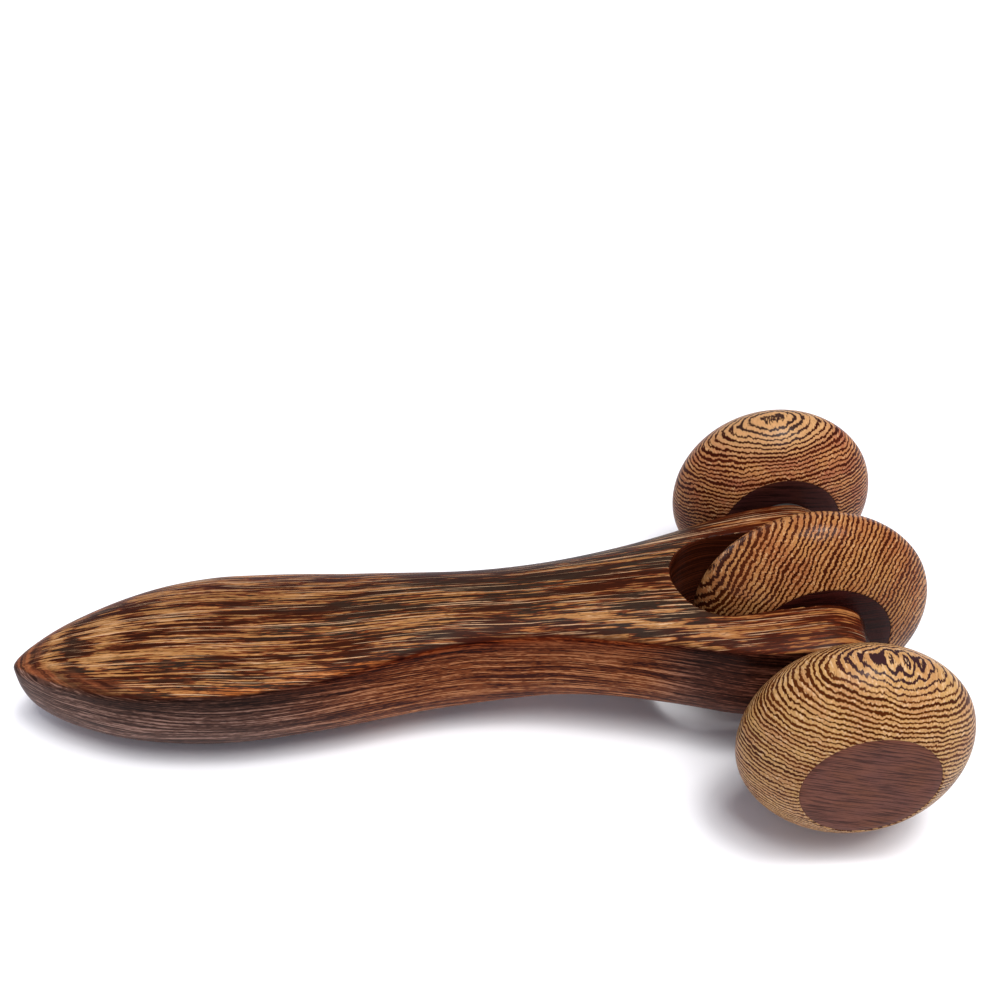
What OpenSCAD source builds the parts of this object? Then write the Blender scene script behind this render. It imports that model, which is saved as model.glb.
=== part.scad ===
// Hand-held three-wheel massage roller: a carved wooden handle with a forked
// head, three turned wooden wheels on one steel axle.
// Millimetres. X runs from the tip of the grip towards the wheels, Y along the
// axle, Z up. The origin is under the middle of the whole roller, on the floor.

/* [Wheels] */
// Diameter of the front and rear wheels
wheel_d = 44; // [40:1:47]
// Width of the front and rear wheels over their flat faces
wheel_w = 21.7; // [20:0.1:24]
// Diameter of the centre wheel
centre_d = 48; // [46:1:52]
// Width of the centre wheel over its flat faces
centre_w = 19.4; // [17:0.1:20]
// Distance from the middle of the handle to the middle of each outer wheel
wheel_pitch = 35.4; // [34.8:0.1:38]
// How far the centre wheel has slid along the axle towards the front
centre_shift = 0.6; // [0:0.1:0.8]
// Fullness of the wheels' rounded profile, 2 is an ellipse
wheel_full = 1.8; // [1.6:0.1:2.4]

/* [Face discs] */
// Thickness of the dark discs let into the flat faces
disc_t = 3; // [2:0.5:3.5]
// Rim of wheel wood left around each disc
disc_rim = 0.3; // [0.2:0.1:1]
// Radial gap between the bored discs and the axle
disc_gap = 0.45; // [0.3:0.05:0.8]

/* [Axle] */
// Diameter of the steel axle
axle_d = 6; // [5:0.5:7]
// Total length of the axle
axle_len = 84.4; // [83.6:0.2:86]
// Radial running clearance of the wheels on the axle
run_clear = 0.05; // [0.03:0.01:0.1]
// Outer diameter of the washers behind the retainers
end_washer_d = 12; // [10:0.5:12.5]
// Thickness of the washers behind the retainers
end_washer_t = 1; // [0.8:0.1:1.2]
// Outer diameter of the push-on retainers
retainer_d = 11; // [9:0.5:12]

/* [Spacers] */
// Outer diameter of the spacers between the arms and the outer wheels
spacer_d = 14; // [10:1:16]
// Thickness of the spacers between the arms and the outer wheels
spacer_t = 3; // [2.6:0.1:3.1]
// Outer diameter of the thin washers in the slot
slot_washer_d = 12; // [9:1:16]
// Thickness of the thin washers in the slot
slot_washer_t = 0.7; // [0.4:0.1:0.8]

/* [Handle] */
// From the axle to the tip of the grip
reach = 161.6; // [150:0.2:175]
// From the axle to the rounded ends of the arms
arm_end = 8.4; // [7:0.2:9]
// Width of the slot between the arms
slot_w = 23; // [22.6:0.1:24]
// From the axle to the rounded bottom of the slot
slot_depth = 29.2; // [29:0.2:34]
// Across the spot-faced outer sides of the arms
arms_w = 42.4; // [42:0.1:42.6]

/* [Hidden] */

axle_r = axle_d / 2;
centre_r = centre_d / 2;
wheel_r = wheel_d / 2;
axle_x = (reach + centre_r) / 2 - centre_r;   // axle, from the middle of the box
axle_z = centre_r;                            // the centre wheel touches the floor
bore_r = axle_r + run_clear;
pocket_r = 7.2;                               // room for washer and retainer
washer_y = wheel_pitch + wheel_w / 2 - disc_t - 5;  // floor of that pocket
end_gap = 0.3;                                // end play of the outer wheels

// Stations along the handle, measured from the axle as it is drawn at a reach
// of 161.6: x, half width, height of the crease, crown above the crease,
// height of the underside, squareness of the lower half of the section.
LOFT = [
    [-161.6,  0.5,  -8.6, 0.3, -11.0, 2.0],
    [-160.6,  2.3,  -8.0, 0.6, -15.4, 2.1],
    [-158.4,  4.3,  -7.0, 1.0, -18.9, 2.4],
    [-154.0,  7.4,  -5.6, 1.5, -21.2, 2.6],
    [-149.0, 10.1,  -4.5, 1.9, -22.4, 2.7],
    [-141.0, 13.6,  -3.3, 2.4, -23.2, 2.8],
    [-132.0, 16.0,  -2.1, 2.7, -23.7, 2.8],
    [-122.0, 17.1,  -1.2, 2.8, -24.0, 2.8],
    [-113.0, 17.1,  -0.9, 2.8, -23.9, 2.7],
    [-104.0, 16.2,  -0.2, 2.8, -23.2, 2.7],
    [ -96.0, 15.0,   0.5, 2.8, -22.4, 2.8],
    [ -88.0, 13.4,   1.8, 2.7, -21.8, 2.9],
    [ -79.0, 11.7,   3.1, 2.6, -20.9, 3.0],
    [ -71.0, 10.7,   3.9, 2.6, -20.0, 3.2],
    [ -63.0, 10.6,   4.4, 2.7, -18.9, 3.2],
    [ -53.0, 11.2,   5.1, 3.0, -17.5, 3.2],
    [ -44.0, 12.8,   5.5, 3.3, -16.6, 3.3],
    [ -35.0, 14.8,   6.1, 3.5, -16.4, 3.5],
    [ -26.0, 17.2,   6.9, 3.3, -16.6, 3.7],
    [ -17.0, 19.9,   7.8, 2.9, -16.8, 3.9],
    [  -8.0, 21.2,   9.1, 2.6, -17.0, 4.0],
    [   0.0, 21.4,   9.8, 2.3, -16.8, 4.0],
    [   4.0, 21.0,   8.5, 2.0, -15.2, 3.6],
    [   6.4, 20.0,   6.0, 1.6, -12.4, 3.2],
    [   7.8, 17.4,   1.6, 1.0,  -7.6, 2.6]];

// Cuts at which rings are placed, closer where the outline turns fast
CUTS = concat(
    [-161.6, -161.1, -160.3, -159.2, -157.8, -156, -154, -151.5, -148.5],
    [for (x = [-144.5 : 4.5 : 0]) x],
    [1.6, 3.2, 4.6, 5.8, 6.8, 7.4, 7.8]);

RING = 48;         // points round the handle

// Smooth curve through column c of a table, and the parts it needs
function span(t, x, i = 0) = (i >= len(t) - 2 || x < t[i + 1][0]) ? i : span(t, x, i + 1);
function grade(t, i, c) = let (a = max(i - 1, 0), b = min(i + 1, len(t) - 1))
    (t[b][c] - t[a][c]) / (t[b][0] - t[a][0]);
function curve(t, x, c) = let (i = span(t, x), h = t[i + 1][0] - t[i][0],
    s = (x - t[i][0]) / h, s2 = s * s, s3 = s2 * s)
    (2 * s3 - 3 * s2 + 1) * t[i][c] + (s3 - 2 * s2 + s) * h * grade(t, i, c)
    + (3 * s2 - 2 * s3) * t[i + 1][c] + (s3 - s2) * h * grade(t, i + 1, c);

function spow(v, e) = v < 0 ? -pow(-v, e) : pow(v, e);

// One point of the section at x. u goes once round: 0 is the widest point on
// the +Y side, 0.25 the top of the crown, 0.5 the -Y side, 0.75 the underside.
function section(x, u) = let (
    b = curve(LOFT, x, 1), zc = curve(LOFT, x, 2), cr = curve(LOFT, x, 3),
    zb = max(curve(LOFT, x, 4), -centre_r), n = curve(LOFT, x, 5),
    edge = min(2, (zc - zb) / 5), zm = zc - edge, a = 360 * u, ca = cos(a), sa = sin(a))
    sa >= 0
    ? [b * spow(ca, 0.42), zm + (edge + cr * (1 - pow(abs(spow(ca, 0.42)), 2.2))) * pow(sa, 0.42)]
    : [b * spow(ca, 2 / n), zm + (zm - zb) * spow(sa, 2 / n)];

function stretch(x) = x < 0 ? x * reach / 161.6 : x * arm_end / 7.8;

module about_axle() { translate([axle_x, 0, axle_z]) children(); }

module along_y(y0, y1, r, fn = 96) {
    translate([0, y1, 0]) rotate([90, 0, 0]) cylinder(h = y1 - y0, r = r, $fn = fn);
}

module ring_y(y0, y1, ro, ri) {
    difference() {
        along_y(y0, y1, ro);
        along_y(y0 - 1, y1 + 1, ri);
    }
}

// Closed skin of the handle before the slot and the bores are cut
module handle_blank() {
    n = len(CUTS);
    pts = [for (x = CUTS) for (k = [0 : RING - 1])
        let (p = section(x, (k + 0.5) / RING)) [stretch(x), p[0], p[1]]];
    sides = [for (i = [0 : n - 2]) for (k = [0 : RING - 1])
        let (a = i * RING + k, b = i * RING + (k + 1) % RING, c = b + RING, d = a + RING)
        each [[a, b, c], [a, c, d]]];
    polyhedron(points = pts, faces = concat(sides,
        [[for (k = [RING - 1 : -1 : 0]) k]],
        [[for (k = [0 : RING - 1]) (n - 1) * RING + k]]), convexity = 6);
}

module handle() {
    color([0.36, 0.22, 0.13]) about_axle() difference() {
        handle_blank();
        // slot with a round bottom
        translate([-slot_depth + slot_w / 2, 0, -40]) cylinder(h = 80, d = slot_w, $fn = 96);
        translate([-slot_depth + slot_w / 2, -slot_w / 2, -40]) cube([60, slot_w, 80]);
        // bore through both arms
        along_y(-40, 40, axle_r);
        // spot faces for the spacers
        along_y(arms_w / 2, arms_w / 2 + 10, spacer_d / 2 + 1);
        along_y(-arms_w / 2 - 10, -arms_w / 2, spacer_d / 2 + 1);
    }
}

module axle() {
    c = 0.6;
    l = axle_len / 2;
    color([0.70, 0.71, 0.72]) about_axle() rotate([90, 0, 0]) rotate_extrude($fn = 96)
        polygon([[0, -l], [axle_r - c, -l], [axle_r, -l + c], [axle_r, l - c], [axle_r - c, l], [0, l]]);
}

// Half width at which the wheel's curve would close on the axle line
function closing(w) = w / 2 * 1.32;
function wheel_radius(y, r, w) = r * pow(1 - pow(abs(y) / closing(w), wheel_full), 1 / wheel_full);
function face_r(r, w) = wheel_radius(w / 2, r, w);

// Turned wheel, its middle at the origin and its axis along Y. Both faces have
// a recess for a disc; a pocket for the retainer opens on the +Y side if asked.
module wheel_body(r, w, pocket = 0) {
    fr = face_r(r, w);
    dr = fr - disc_rim;
    h = w / 2;
    skin = [for (i = [-20 : 20]) let (y = h * sin(90 * i / 20)) [wheel_radius(y, r, w), -y]];
    top = pocket > 0
        ? [[dr, -h], [dr, -h + disc_t], [pocket_r, -h + disc_t], [pocket_r, -h + disc_t + pocket], [bore_r, -h + disc_t + pocket]]
        : [[dr, -h], [dr, -h + disc_t], [bore_r, -h + disc_t]];
    // listed from the -Y face round the tread to the +Y face; the second value is -Y
    rotate([90, 0, 0]) rotate_extrude($fn = 96)
        polygon(concat([[bore_r, h - disc_t], [dr, h - disc_t], [dr, h]],
            skin, top));
}

module wheel_disc(y0, y1, r, bore) {
    rotate([90, 0, 0]) rotate_extrude($fn = 96)
        polygon(bore > 0
            ? [[bore, -y1], [r, -y1], [r, -y0], [bore, -y0]]
            : [[0, -y1], [r, -y1], [r, -y0], [0, -y0]]);
}

module outer_wheel(side) {
    color([0.78, 0.60, 0.40]) about_axle() translate([0, side * wheel_pitch, 0])
        rotate([0, 0, side > 0 ? 0 : 180]) wheel_body(wheel_r, wheel_w, 5);
}

module outer_disc(side) {
    y = wheel_pitch + wheel_w / 2;
    color([0.40, 0.25, 0.20]) about_axle() rotate([0, 0, side > 0 ? 0 : 180])
        wheel_disc(y - disc_t, y, face_r(wheel_r, wheel_w) - disc_rim, 0);
}

module inner_disc(side) {
    y = wheel_pitch - wheel_w / 2;
    color([0.33, 0.20, 0.16]) about_axle() rotate([0, 0, side > 0 ? 0 : 180])
        wheel_disc(y, y + disc_t, face_r(wheel_r, wheel_w) - disc_rim, axle_r + disc_gap);
}

module front_wheel() { outer_wheel(-1); }
module rear_wheel() { outer_wheel(1); }
module front_outer_disc() { outer_disc(-1); }
module rear_outer_disc() { outer_disc(1); }
module front_inner_disc() { inner_disc(-1); }
module rear_inner_disc() { inner_disc(1); }

module centre_wheel() {
    color([0.72, 0.54, 0.35]) about_axle() translate([0, -centre_shift, 0])
        wheel_body(centre_r, centre_w);
}

module centre_disc(side) {
    h = centre_w / 2;
    color([0.33, 0.20, 0.16]) about_axle() translate([0, -centre_shift, 0]) rotate([0, 0, side > 0 ? 0 : 180])
        wheel_disc(h - disc_t, h, face_r(centre_r, centre_w) - disc_rim, axle_r + disc_gap);
}

module centre_front_disc() { centre_disc(-1); }
module centre_rear_disc() { centre_disc(1); }

module spacer(side) {
    a = arms_w / 2;
    color([0.05, 0.05, 0.05]) about_axle() rotate([0, 0, side > 0 ? 0 : 180])
        ring_y(a, a + spacer_t, spacer_d / 2, axle_r + 0.05);
}
module front_spacer() { spacer(-1); }
module rear_spacer() { spacer(1); }

module slot_washer(side) {
    s = slot_w / 2;
    color([0.72, 0.72, 0.72]) about_axle() rotate([0, 0, side > 0 ? 0 : 180])
        ring_y(s - slot_washer_t, s, slot_washer_d / 2, axle_r + 0.05);
}
module slot_front_washer() { slot_washer(-1); }
module slot_rear_washer() { slot_washer(1); }

module end_washers() {
    color([0.72, 0.72, 0.72]) about_axle() for (s = [0, 180]) rotate([0, 0, s])
        ring_y(washer_y + end_gap, washer_y + end_gap + end_washer_t, end_washer_d / 2, axle_r + 0.05);
}

// Domed caps pushed onto the axle ends, open on the wheel side
module push_on_retainers() {
    y = washer_y + end_gap + end_washer_t;
    color([0.55, 0.56, 0.58]) about_axle() for (s = [0, 180]) rotate([0, 0, s])
        rotate([90, 0, 0]) rotate_extrude($fn = 96)
            polygon([[axle_r, -y], [retainer_d / 2, -y], [retainer_d / 2, -y - 0.6],
                [axle_r + 1.2, -y - 1.2], [axle_r + 0.6, -y - 2], [axle_r, -y - 2]]);
}

handle();
axle();
front_wheel();
front_outer_disc();
front_inner_disc();
centre_wheel();
centre_front_disc();
centre_rear_disc();
rear_wheel();
rear_inner_disc();
rear_outer_disc();
front_spacer();
rear_spacer();
slot_front_washer();
slot_rear_washer();
end_washers();
push_on_retainers();
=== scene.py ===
"""Looks of the three-wheel wooden massage roller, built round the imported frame.

Lengths in the tables are millimetres, as in the CAD; MM turns them into metres.
X runs from the tip of the grip to the wheels, Y along the axle, Z up.
"""
import math

import bpy
import numpy as np
from mathutils import Matrix, Vector


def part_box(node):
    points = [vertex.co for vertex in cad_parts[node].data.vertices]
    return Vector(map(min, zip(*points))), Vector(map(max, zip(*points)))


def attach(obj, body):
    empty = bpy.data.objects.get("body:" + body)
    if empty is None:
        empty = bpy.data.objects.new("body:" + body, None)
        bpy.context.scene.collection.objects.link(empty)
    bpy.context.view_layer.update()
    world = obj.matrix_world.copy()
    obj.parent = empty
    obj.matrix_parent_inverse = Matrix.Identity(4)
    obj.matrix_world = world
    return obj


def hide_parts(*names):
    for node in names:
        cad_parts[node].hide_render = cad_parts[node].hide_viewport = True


MM = 0.001
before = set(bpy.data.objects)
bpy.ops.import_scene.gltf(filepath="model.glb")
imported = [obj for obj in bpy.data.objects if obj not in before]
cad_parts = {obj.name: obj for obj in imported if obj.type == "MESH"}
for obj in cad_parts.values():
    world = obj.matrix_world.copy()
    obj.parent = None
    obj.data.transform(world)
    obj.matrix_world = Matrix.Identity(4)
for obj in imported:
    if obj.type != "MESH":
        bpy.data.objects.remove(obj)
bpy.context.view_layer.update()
scene = bpy.context.scene

# --------------------------------------------------------------------------
# camera
# --------------------------------------------------------------------------
cam_data = bpy.data.cameras.new("camera")
cam = bpy.data.objects.new("camera", cam_data)
scene.collection.objects.link(cam)
right = Vector((0.99788, -0.06431, 0.01013))
up = Vector((0.03348, 0.64028, 0.76741))
ahead = Vector((0.05584, 0.76545, -0.64107))
cam.matrix_world = Matrix((
    (right.x, up.x, -ahead.x, -8.536 * MM),
    (right.y, up.y, -ahead.y, -189.788 * MM),
    (right.z, up.z, -ahead.z, 213.741 * MM),
    (0, 0, 0, 1)))
cam_data.sensor_width = 36
cam_data.lens = 47.681
cam_data.clip_start = 0.01
cam_data.clip_end = 20
scene.camera = cam

# --------------------------------------------------------------------------
# places, from the frame
# --------------------------------------------------------------------------
lo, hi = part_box("axle")
AX = (lo.x + hi.x) / 2 / MM            # axle line
AZ = (lo.z + hi.z) / 2 / MM
AXLE_R = (hi.z - lo.z) / 2 / MM
AXLE_END = hi.y / MM


def span_y(node):
    a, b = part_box(node)
    return a.y / MM, b.y / MM


def radius(node):
    a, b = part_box(node)
    return (b.z - a.z) / 2 / MM


# --------------------------------------------------------------------------
# mesh helpers
# --------------------------------------------------------------------------
def make(name, verts, faces, body, nodes, material, sharp=35):
    """A piece from points in millimetres, riding on a body, in place of CAD nodes."""
    me = bpy.data.meshes.new(name)
    me.from_pydata((np.asarray(verts, float) * MM).tolist(), [], faces)
    me.validate()
    me.update()
    me.shade_smooth()
    me.set_sharp_from_angle(angle=math.radians(sharp))
    ob = bpy.data.objects.new(name, me)
    scene.collection.objects.link(ob)
    me.materials.append(material)
    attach(ob, body)
    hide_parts(*nodes)
    return ob


def lathe(profile, segments=288, turn=0.0):
    """A closed profile [(y, r), ...] turned round the axle line. Points with r = 0 close on it.
    Returns verts and faces with their normals outwards."""
    prof = [(float(y), float(r)) for y, r in profile]
    closed = prof[0][1] > 1e-6             # a ring: the profile joins its own start
    area = sum(prof[i][0] * prof[(i + 1) % len(prof)][1] - prof[(i + 1) % len(prof)][0] * prof[i][1]
               for i in range(len(prof)))
    if area > 0:
        prof.reverse()
    ang = np.arange(segments) * 2 * math.pi / segments + turn
    sa, ca = np.sin(ang), np.cos(ang)
    verts, start = [], []
    for y, r in prof:
        start.append(len(verts))
        if r < 1e-6:
            verts.append((AX, y, AZ))
        else:
            verts.extend(zip((AX + r * sa).tolist(), [y] * segments, (AZ + r * ca).tolist()))
    faces = []
    n = len(prof)
    for i in range(n if closed else n - 1):
        j = (i + 1) % n
        a, b = start[i], start[j]
        ra, rb = prof[i][1] < 1e-6, prof[j][1] < 1e-6
        if ra and rb:
            continue
        for k in range(segments):
            m = (k + 1) % segments
            if ra:
                faces.append((a, b + k, b + m))
            elif rb:
                faces.append((a + k, b, a + m))
            else:
                faces.append((a + k, b + k, b + m, a + m))
    return verts, faces


def rounded(points, steps=4):
    """A profile whose corners given as (y, r, fillet) are rounded. Corners without a fillet stay."""
    out, n = [], len(points)
    for i, p in enumerate(points):
        f = p[2] if len(p) > 2 else 0
        c = np.array(p[:2], float)
        if f <= 0:
            out.append(tuple(c))
            continue
        a, b = np.array(points[i - 1][:2], float), np.array(points[(i + 1) % n][:2], float)
        u, v = a - c, b - c
        lu, lv = np.linalg.norm(u), np.linalg.norm(v)
        u, v = u / lu, v / lv
        half = math.acos(max(-1, min(1, float(u @ v)))) / 2
        t = min(f / math.tan(half), 0.49 * lu, 0.49 * lv)
        r = t * math.tan(half)
        m = (u + v) / np.linalg.norm(u + v)
        o = c + m * (r / math.sin(half))
        p0, p1 = c + u * t - o, c + v * t - o
        w = math.acos(max(-1, min(1, float(p0 @ p1) / (r * r))))
        for k in range(steps + 1):
            s = k / steps
            q = o + (math.sin((1 - s) * w) * p0 + math.sin(s * w) * p1) / math.sin(w)
            out.append(tuple(q))
    return out


# --------------------------------------------------------------------------
# shader helpers
# --------------------------------------------------------------------------
def lin(r, g, b):
    """Linear colour from 0-255 screen values."""
    f = lambda c: c / 12.92 if c <= 0.04045 else ((c + 0.055) / 1.055) ** 2.4
    return (f(r / 255), f(g / 255), f(b / 255), 1.0)


class Graph:
    """A short way to write a node material."""

    def __init__(self, name):
        self.mat = bpy.data.materials.new(name)
        self.mat.use_nodes = True
        self.nt = self.mat.node_tree
        self.nt.nodes.clear()
        self.out = self.nt.nodes.new("ShaderNodeOutputMaterial")
        self.bsdf = self.nt.nodes.new("ShaderNodeBsdfPrincipled")
        self.nt.links.new(self.bsdf.outputs["BSDF"], self.out.inputs["Surface"])

    def put(self, socket, v):
        if isinstance(v, bpy.types.NodeSocket):
            self.nt.links.new(v, socket)
        else:
            socket.default_value = v

    def math(self, op, a, b=None, c=None, clamp=False):
        n = self.nt.nodes.new("ShaderNodeMath")
        n.operation = op
        n.use_clamp = clamp
        for i, v in enumerate((a, b, c)):
            if v is not None:
                self.put(n.inputs[i], v)
        return n.outputs[0]

    def add(self, a, b):
        return self.math("ADD", a, b)

    def sub(self, a, b):
        return self.math("SUBTRACT", a, b)

    def mul(self, a, b):
        return self.math("MULTIPLY", a, b)

    def mad(self, a, b, c):
        return self.math("MULTIPLY_ADD", a, b, c)

    def vmath(self, op, a, b=None, scale=None):
        n = self.nt.nodes.new("ShaderNodeVectorMath")
        n.operation = op
        self.put(n.inputs[0], a)
        if b is not None:
            self.put(n.inputs[1], b)
        if scale is not None:
            n.inputs["Scale"].default_value = scale
        return n.outputs["Value"] if op in ("DOT_PRODUCT", "LENGTH") else n.outputs["Vector"]

    def vec(self, x, y, z):
        n = self.nt.nodes.new("ShaderNodeCombineXYZ")
        for i, v in enumerate((x, y, z)):
            self.put(n.inputs[i], v)
        return n.outputs[0]

    def split(self, v):
        n = self.nt.nodes.new("ShaderNodeSeparateXYZ")
        self.put(n.inputs[0], v)
        return n.outputs[0], n.outputs[1], n.outputs[2]

    def coords(self):
        n = self.nt.nodes.new("ShaderNodeTexCoord")
        return n.outputs["Object"]

    def attr(self, name):
        n = self.nt.nodes.new("ShaderNodeAttribute")
        n.attribute_name = name
        return n.outputs["Fac"]

    def noise(self, v, scale=1.0, detail=2.0, rough=0.5, dist=0.0, lac=2.0):
        """Signed noise, about -1 to 1."""
        n = self.nt.nodes.new("ShaderNodeTexNoise")
        self.put(n.inputs["Vector"], v)
        n.inputs["Scale"].default_value = scale
        n.inputs["Detail"].default_value = detail
        n.inputs["Roughness"].default_value = rough
        n.inputs["Lacunarity"].default_value = lac
        n.inputs["Distortion"].default_value = dist
        return self.mad(n.outputs["Fac"], 2.6, -1.3)

    def cell_noise(self, v, scale=1.0, random=1.0):
        """A random level from 0 to 1 for each cell."""
        n = self.nt.nodes.new("ShaderNodeTexVoronoi")
        self.put(n.inputs["Vector"], v)
        n.inputs["Scale"].default_value = scale
        n.inputs["Randomness"].default_value = random
        return self.split(n.outputs["Color"])[0]

    def white(self, w):
        n = self.nt.nodes.new("ShaderNodeTexWhiteNoise")
        n.noise_dimensions = "1D"
        self.put(n.inputs["W"], w)
        return n.outputs["Value"]

    def step(self, v, a, b, x=0.0, y=1.0):
        """Smooth step of v from a to b, giving x to y."""
        n = self.nt.nodes.new("ShaderNodeMapRange")
        n.interpolation_type = "SMOOTHSTEP"
        n.clamp = True
        for i, u in enumerate((v, a, b, x, y)):
            self.put(n.inputs[i], u)
        return n.outputs[0]

    def mix(self, f, a, b, mode="MIX"):
        n = self.nt.nodes.new("ShaderNodeMix")
        n.data_type = "RGBA"
        n.blend_type = mode
        n.clamp_factor = True
        self.put(n.inputs[0], f)
        self.put(n.inputs[6], a)
        self.put(n.inputs[7], b)
        return n.outputs[2]

    def tint(self, colour, level):
        """Colour times a level."""
        n = self.nt.nodes.new("ShaderNodeVectorMath")
        n.operation = "SCALE"
        self.put(n.inputs[0], colour)
        self.put(n.inputs["Scale"], level)
        return n.outputs["Vector"]

    def bump(self, height, strength, distance):
        n = self.nt.nodes.new("ShaderNodeBump")
        n.inputs["Strength"].default_value = strength
        n.inputs["Distance"].default_value = distance
        self.put(n.inputs["Height"], height)
        self.put(self.bsdf.inputs["Normal"], n.outputs["Normal"])

    def finish(self, colour, roughness, **consts):
        self.put(self.bsdf.inputs["Base Color"], colour)
        self.put(self.bsdf.inputs["Roughness"], roughness)
        for k, v in consts.items():
            self.bsdf.inputs[k.replace("_", " ")].default_value = v
        return self.mat


def local(g, centre, ex, ey, ez):
    """Millimetre coordinates of the point along three directions, from a centre."""
    p = g.vmath("SCALE", g.coords(), scale=1 / MM)
    p = g.vmath("SUBTRACT", p, centre)
    return (g.vmath("DOT_PRODUCT", p, ex), g.vmath("DOT_PRODUCT", p, ey),
            g.vmath("DOT_PRODUCT", p, ez))


def basis(tilt_x, tilt_y, spin=0.0):
    """Directions across the fibre, along it (nearly the axle) and out of the layers.
    tilt_x leans the layers' normal towards +X, tilt_y towards +Y, in degrees; spin turns
    everything round the axle."""
    m = (Matrix.Rotation(math.radians(spin), 3, "Y") @ Matrix.Rotation(math.radians(tilt_x), 3, "Y")
         @ Matrix.Rotation(math.radians(-tilt_y), 3, "X"))
    return tuple(m @ Vector((1, 0, 0))), tuple(m @ Vector((0, 1, 0))), tuple(m @ Vector((0, 0, 1)))


# --------------------------------------------------------------------------
# wood of the wheels: layered, the fibre along the axle
# --------------------------------------------------------------------------
def wheel_wood(name, y0, frame3, seed, pitch, duty, light, dark, curve=(0.0, 0.0), jag=1.0, eye=(0.0, 8.0, 1.0, 0.0), thin=0.0, bars=0.0, crest=None):
    g = Graph(name)
    ex, ey, ez = frame3
    x, y, z = local(g, (AX, y0, AZ), ex, ey, ez)
    at = lambda a, b, c, k=0.0: g.vec(g.mad(x, 1 / a, seed + k), g.mad(y, 1 / b, seed * 1.7 - k),
                                       g.mad(z, 1 / c, seed * 0.6 + 2 * k))
    warp = g.noise(at(10, 18, 10), detail=1)
    saw = g.noise(at(2.4, 6, 5, 3.1), detail=2, rough=0.62, dist=0.3)
    fine = g.noise(at(0.50, 1.7, 1.5, 7.7), detail=2, rough=0.7)
    layer = g.mad(g.mul(x, x), curve[0], z)
    layer = g.mad(g.mul(y, y), curve[1], layer)
    # the swelling: its height, reach, stretch along the fibre and place along it
    dy = g.mul(g.sub(y, eye[3]), eye[2] / eye[1])
    dx = g.mul(x, 1 / eye[1])
    far = g.add(g.mul(dx, dx), g.mul(dy, dy))
    crown = g.step(z, 0.0, 12.0)
    layer = g.mad(g.mul(g.math("POWER", 2.718, g.mul(far, -1.0)), crown), eye[0], layer)
    if bars:
        comb = g.math("SINE", g.mul(g.mad(warp, 0.8, x), 2 * math.pi / 3.1))
        core = g.mul(g.math("POWER", 2.718, g.mul(far, -3.2)), crown)
        layer = g.mad(g.mul(comb, core), bars, layer)
    layer = g.mad(warp, 0.95, layer)
    layer = g.mad(saw, 0.44 * jag, layer)
    layer = g.mad(fine, 0.34 * jag, layer)
    s = g.mul(layer, 1 / pitch)
    cell = g.math("FLOOR", s)
    t = g.mul(g.math("ABSOLUTE", g.sub(g.sub(s, cell), 0.5)), 2)
    own = g.white(g.add(cell, seed))
    own2 = g.white(g.add(cell, seed + 31.7))
    slow = g.noise(at(6, 14, 7, 12.3), detail=2)
    grit = g.noise(at(0.30, 0.9, 0.45, 1.9), detail=1)
    width = g.mad(own, 0.26, duty - 0.13)
    width = g.mad(slow, 0.20, width)
    width = g.mad(grit, 0.30, width)
    width = g.sub(width, g.step(z, 17.0, 22.5, 0.0, thin))
    line = g.step(t, g.sub(width, 0.10), g.add(width, 0.10), 1.0, 0.0)
    # colours
    tone = g.noise(at(6, 9, 4, 20.2), detail=2)
    lc = g.mix(g.step(tone, -0.45, 0.5), light[0], light[1])
    streak = g.noise(at(0.50, 4.5, 0.42, 5.5), detail=2, rough=0.6)
    lc = g.mix(g.step(streak, 0.0, 0.6, 0.0, 0.9), lc, light[2])
    lc = g.mix(g.step(streak, -0.25, -0.7, 0.0, 0.45), lc, dark[1])
    if crest:
        lc = g.mix(g.step(z, 15.5, 20.0, 0.0, 0.8), lc, crest)
    lc = g.tint(lc, g.mad(grit, 0.22, 1.0))
    dc = g.mix(own2, dark[0], dark[1])
    top = g.step(g.add(z, g.mul(slow, 2.0)), 18.0, 21.0)
    dc = g.mix(top, dc, dark[2])
    # open pores: short dark flecks along the fibre
    pore = g.step(g.noise(at(0.26, 1.0, 0.26, 9.4), detail=0.5), 0.50, 0.80)
    colour = g.mix(line, lc, dc)
    colour = g.mix(g.mul(pore, 0.6), colour, dark[0])
    rough = g.mad(line, 0.06, 0.34)
    rough = g.mad(grit, 0.06, rough)
    height = g.sub(g.mul(grit, 0.2), g.add(g.mul(line, 0.35), g.mul(pore, 0.9)))
    g.bump(height, 0.4, 0.00010)
    return g.finish(colour, rough, Specular_IOR_Level=0.03, Coat_Weight=0.08, Coat_Roughness=0.15, IOR=1.48)


SPEC, COAT = 0.09, 0.03
TAN = (lin(184, 142, 89), lin(175, 127, 83), lin(210, 174, 134))
BROWN = (lin(62, 24, 2), lin(84, 40, 12), lin(50, 28, 30))

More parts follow.
